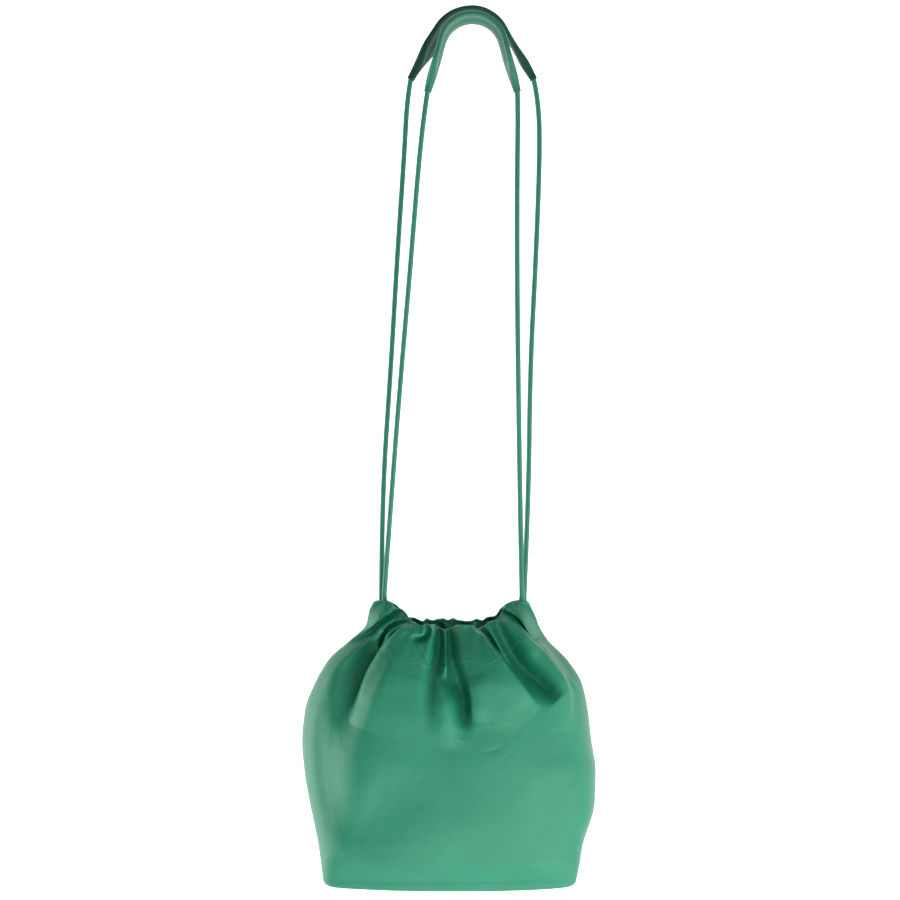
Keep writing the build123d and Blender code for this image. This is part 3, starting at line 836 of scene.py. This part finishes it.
def hem_stitches(name, columns, replaced):
    """Stitches round one half of the hem, spaced evenly on the leather."""
    below = [CHANNEL_FOOT + STITCH_DIP * sin(column * 0.045) for column in columns]
    rows = [int(np.argmin(np.abs(drop[:, column] - low))) for column, low in zip(columns, below)]
    places, outs = spaced(sheet_rows[rows, columns], sheet_normals[rows, columns], 2.0)
    runs = np.gradient(places, axis=0)
    stitches(name, places + outs * 0.05, runs, outs, HEM_THREAD, "bag", replaced)


sheet_normals = outward(sheet_rows)
hem_stitches("front_hem_stitches", range(4, COLUMNS - 4), "front_channel_stitching")
hem_stitches("back_hem_stitches", range(COLUMNS + 4, AROUND - 4), "back_channel_stitching")


# ---- Shoulder pads ------------------------------------------------------------------------------
PAD_W, PAD_T, PAD_Y = 28.0, 4.6, 15.5
PAD_END_HALF = 3.1  # half the width where a pad is rolled round its cord
PAD_RINGS, PAD_AROUND = 181, 96
STITCH_TRIM, FELT_TRIM = 28, 22  # rings at each end that the stitches and the felt stop short of
FELT_IN = 1.1  # how far the felt lies inside the leather
# height at the top, radius, splay of the legs, height where the flat stretch ends, taper
PAD_ARCHES = {"front": (3.0, 28.0, 15.0, -36.0, 26.0), "back": (14.5, 33.0, 30.0, -18.0, 32.0)}


def arch_line(arch, count):
    """Points, tangents and outward directions along a pad, tapers included, evenly spaced."""
    top, radius, splay, foot, taper = arch
    side = radius * cos(radians(splay))
    shoulder = top - radius + radius * sin(radians(splay))
    leg = (shoulder - foot) / cos(radians(splay)) + taper
    bend = radius * radians(90 - splay)
    total = leg + bend
    spots, outs = [], []
    for place in np.linspace(-total, total, count):
        sign = 1 if place >= 0 else -1
        far = abs(place)
        if far <= bend:
            angle = far / radius
            x, z = radius * sin(angle), top - radius + radius * cos(angle)
            out = (sin(angle), cos(angle))
        else:
            past = far - bend
            x = side + past * sin(radians(splay))
            z = shoulder - past * cos(radians(splay))
            out = (cos(radians(splay)), sin(radians(splay)))
        spots.append((sign * x, 0.0, z))
        outs.append((sign * out[0], 0.0, out[1]))
    spots, outs = np.array(spots), np.array(outs)
    tangents = np.gradient(spots, axis=0)
    tangents /= np.linalg.norm(tangents, axis=1, keepdims=True)
    return spots, tangents, outs, total, taper


def pad_rows(strap, y, lean, trim):
    """Rings of points along a pad; trim makes it smaller all round, for what lies inside."""
    spots, tangents, outs, total, taper = arch_line(PAD_ARCHES[strap], PAD_RINGS)
    place = np.linspace(-total, total, PAD_RINGS)
    from_end = total - np.abs(place)
    rolled = 1 - smooth_step(0, taper * 1.2, from_end)
    half_w = PAD_W / 2 * (1 - rolled) + PAD_END_HALF * rolled
    half_w = half_w * (1 + 0.02 * wave(place / 9, 21, 3)) - trim
    swell = np.exp(-(((from_end - taper * 0.5) / (taper * 0.42)) ** 2))
    half_t = PAD_T / 2 + 1.3 * swell + 0.7 * rolled - trim * 0.8
    lean_left, lean_top, lean_right = lean
    far = smooth_step(0, total * 0.7, np.abs(place))
    turns = lean_top + (np.where(place < 0, lean_left, lean_right) - lean_top) * far
    turns = turns * (1 - rolled**2)
    rows = []
    angle = np.linspace(0, 2 * pi, PAD_AROUND, endpoint=False)
    for k in range(PAD_RINGS):
        flat = 1 - rolled[k]
        power = 2 + 2.2 * flat
        across = np.sign(np.cos(angle)) * np.abs(np.cos(angle)) ** (2 / power) * half_w[k]
        up = np.sign(np.sin(angle)) * np.abs(np.sin(angle)) ** (2 / power) * half_t[k]
        # the strip's two edges meet in a slit under the pad, and a crease runs along its front
        slit = np.exp(-((across / 1.1) ** 2)) * (np.sin(angle) < 0)
        crease = np.exp(-(((across + half_w[k] * 0.86) / 0.7) ** 2)) * (np.sin(angle) < 0)
        up = up + slit * 1.3 * flat + crease * 0.6 * flat - 0.9 * flat * (across / half_w[k]) ** 2
        turn = radians(turns[k])
        side_way = np.array([0, 1, 0]) * cos(turn) + outs[k] * sin(turn)
        up_way = outs[k] * cos(turn) - np.array([0, 1, 0]) * sin(turn)
        ring = spots[k] + across[:, None] * side_way + up[:, None] * up_way
        rows.append(ring + np.array([0, y, 0]))
    return np.array(rows), tangents, outs


def pad_pieces(strap, y, lean):
    """A leather strip folded flat round its filling, rolled up to the cord at both ends."""
    body = f"{strap}_strap"
    rows, tangents, outs = pad_rows(strap, y, lean, 0)
    # stitches along both sides of the slit
    stitched = slice(STITCH_TRIM, -STITCH_TRIM)
    slit = int(PAD_AROUND * 0.75)
    places, runs, sides = [], [], []
    for offset in (-2, 2):
        line, ways = spaced(rows[stitched, slit + offset], -outs[stitched], 1)
        places += list(line)
        runs += list(np.gradient(line, axis=0))
        sides += list(ways)
    stitches(f"{strap}_pad_stitches", places, runs, sides, PAD_THREAD, body,
             f"{strap}_pad_stitching")
    # each end is a cut mouth that turns in round the cord
    for end, step in ((0, -1), (-1, 1)):
        middle = rows[end].mean(axis=0)
        extra = [middle + (rows[end] - middle) * size + tangents[end] * step * out
                 for size, out in ((1.05, 0.9), (0.84, 0.7), (0.80, -3.0))]
        rows = np.concatenate([rows, extra]) if step == 1 else np.concatenate([extra[::-1], rows])
    name = f"{strap}_pad_leather"
    faces = grid_faces(len(rows), PAD_AROUND, closed=True)
    sleeve_mesh = mesh_from(name, rows.reshape(-1, 3), faces, PAD_LEATHER)
    sleeve = add_object(name, sleeve_mesh, body)
    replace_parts(sleeve, f"{strap}_pad_sleeve")
    # the felt inside, closed at both ends
    core = pad_rows(strap, y, lean, FELT_IN)[0][FELT_TRIM:-FELT_TRIM]
    last = (len(core) - 1) * PAD_AROUND
    faces = grid_faces(len(core), PAD_AROUND, closed=True)
    faces += [tuple(range(PAD_AROUND))[::-1], tuple(last + k for k in range(PAD_AROUND))]
    name = f"{strap}_pad_felt"
    felt_mesh = mesh_from(name, core.reshape(-1, 3), faces, FELT)
    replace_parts(add_object(name, felt_mesh, body), f"{strap}_pad_core")


# how far each pad leans over, in degrees, at its left leg, its top and its right leg
pad_pieces("front", -PAD_Y, (-7, -9, -9))
pad_pieces("back", PAD_Y, (-20, -5, 2))


# ---- CAD pieces that show as they are -------------------------------------------------------------
FINISH = {
    "bag_leather": BAG_LEATHER, "pad_leather": PAD_LEATHER, "cord_leather": CORD_LEATHER,
    "lining": LINING, "seam_tape": TAPE, "thread": THREAD, "pad_filling": FELT, "board": BOARD,
}
slots = {part["node"]: part["material_slot"] for part in frame["record"]["subparts"]}
for node, piece in frame["nodes"].items():
    if not piece.data.materials:
        piece.data.materials.append(FINISH[slots[node]])
    for number in range(len(piece.data.materials)):
        piece.data.materials[number] = FINISH[slots[node]]


# ---- Light and backdrop -------------------------------------------------------------------------
def area_light(name, place, aim, size, power):
    """A white rectangular light; its place, aim and size are in metres, its power in watts."""
    data = bpy.data.lights.new(name, "AREA")
    data.shape = "RECTANGLE"
    data.size, data.size_y = size
    data.energy = power
    lamp = bpy.data.objects.new(name, data)
    bpy.context.scene.collection.objects.link(lamp)
    lamp.location = place
    direction = np.array(aim, float) - np.array(place, float)
    lamp.rotation_euler = Vector(direction).to_track_quat("-Z", "Y").to_euler()


area_light("key_right", (0.85, -1.95, -0.38), (0, 0, -0.62), (0.45, 0.5), 9)
area_light("side_right", (1.9, -0.9, -0.9), (0, 0, -0.66), (0.9, 1.0), 18)
area_light("rim_left", (-1.8, 0.30, -0.6), (0, 0, -0.66), (0.6, 1.4), 27)
area_light("high_front", (0.1, -1.4, 0.6), (0, 0, -0.5), (1.2, 0.8), 3.5)
area_light("low_bounce", (0.35, -0.7, -1.2), (0.05, 0, -0.75), (0.8, 0.5), 6.8)

# In metres: the floor's height, the wall's distance, their far edges and how wide they are
FLOOR_Z, WALL_Y = -1.3, 2.4
FLOOR_FRONT, WALL_TOP, STAGE_HALF = -20.0, 5.0, 20
bend = [(WALL_Y - 1.0 + sin(a), FLOOR_Z + 1 - cos(a)) for a in np.linspace(0, pi / 2, 12)]
stage_pieces = {
    "backdrop_floor": ([(FLOOR_FRONT, FLOOR_Z), bend[0]], 0.35),
    "backdrop_wall": (bend + [(WALL_Y, WALL_TOP)], 0.95),
}
for name, (profile, shine) in stage_pieces.items():
    stage_points = [(x / MM, y / MM, z / MM) for y, z in profile for x in (-STAGE_HALF, STAGE_HALF)]
    stage_faces = [(2 * k, 2 * k + 1, 2 * k + 3, 2 * k + 2) for k in range(len(profile) - 1)]
    paint, tree, shader, add = node_material(f"{name}_paint")
    shader.inputs["Base Color"].default_value = (0.92, 0.92, 0.92, 1)
    shader.inputs["Roughness"].default_value = 0.9
    shader.inputs["Emission Color"].default_value = (1, 1, 1, 1)
    shader.inputs["Emission Strength"].default_value = shine
    stage = bpy.data.objects.new(name, mesh_from(name, stage_points, stage_faces, paint))
    bpy.context.scene.collection.objects.link(stage)

world = bpy.data.worlds.new("studio")
bpy.context.scene.world = world
world.use_nodes = True
world.node_tree.nodes["Background"].inputs["Color"].default_value = (1, 1, 1, 1)
world.node_tree.nodes["Background"].inputs["Strength"].default_value = 0.17
bpy.context.scene.view_settings.view_transform = "Standard"
